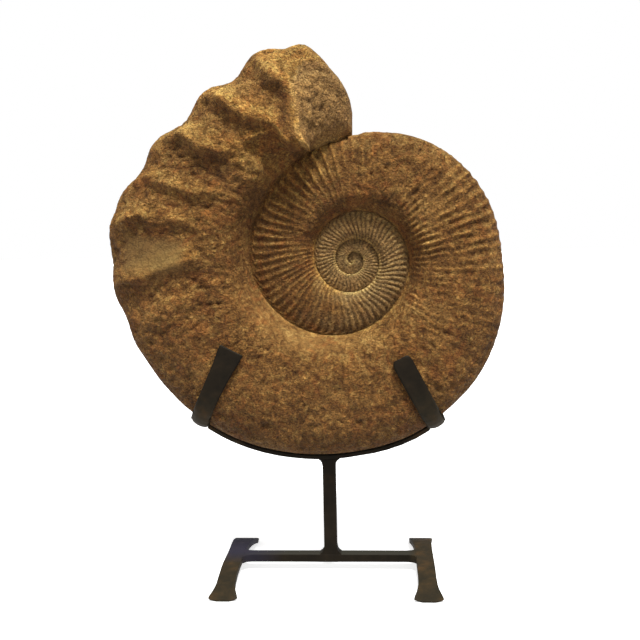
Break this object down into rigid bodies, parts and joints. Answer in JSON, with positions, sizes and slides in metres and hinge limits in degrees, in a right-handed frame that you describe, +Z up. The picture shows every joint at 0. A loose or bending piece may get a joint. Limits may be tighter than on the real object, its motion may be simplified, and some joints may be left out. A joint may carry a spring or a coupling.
{
  "type": "fossil ammonite on an iron stand",
  "caption": "Large ribbed fossil ammonite standing upright in a forged iron cradle stand with flat-bar clasps, a post and arched feet, for display.",
  "frame": {"origin": "on the ground, in the middle of the outline seen from above", "axes": "+Z up, +X to the viewer's right when the ammonite's front side is seen, -Y out of its front side"},
  "size_m": [0.3821, 0.167, 0.5108],
  "materials": {
    "fossil_stone": "rough brown and ochre limestone, matte",
    "forged_iron": "dark forge scale under wax, satin"
  },
  "bodies": {
    "root": {"ammonite": "fossil_stone", "cradle": "forged_iron", "left_clasp": "forged_iron", "right_clasp": "forged_iron", "post": "forged_iron", "crossbar": "forged_iron", "left_foot": "forged_iron", "right_foot": "forged_iron"}
  },
  "joints": []
}
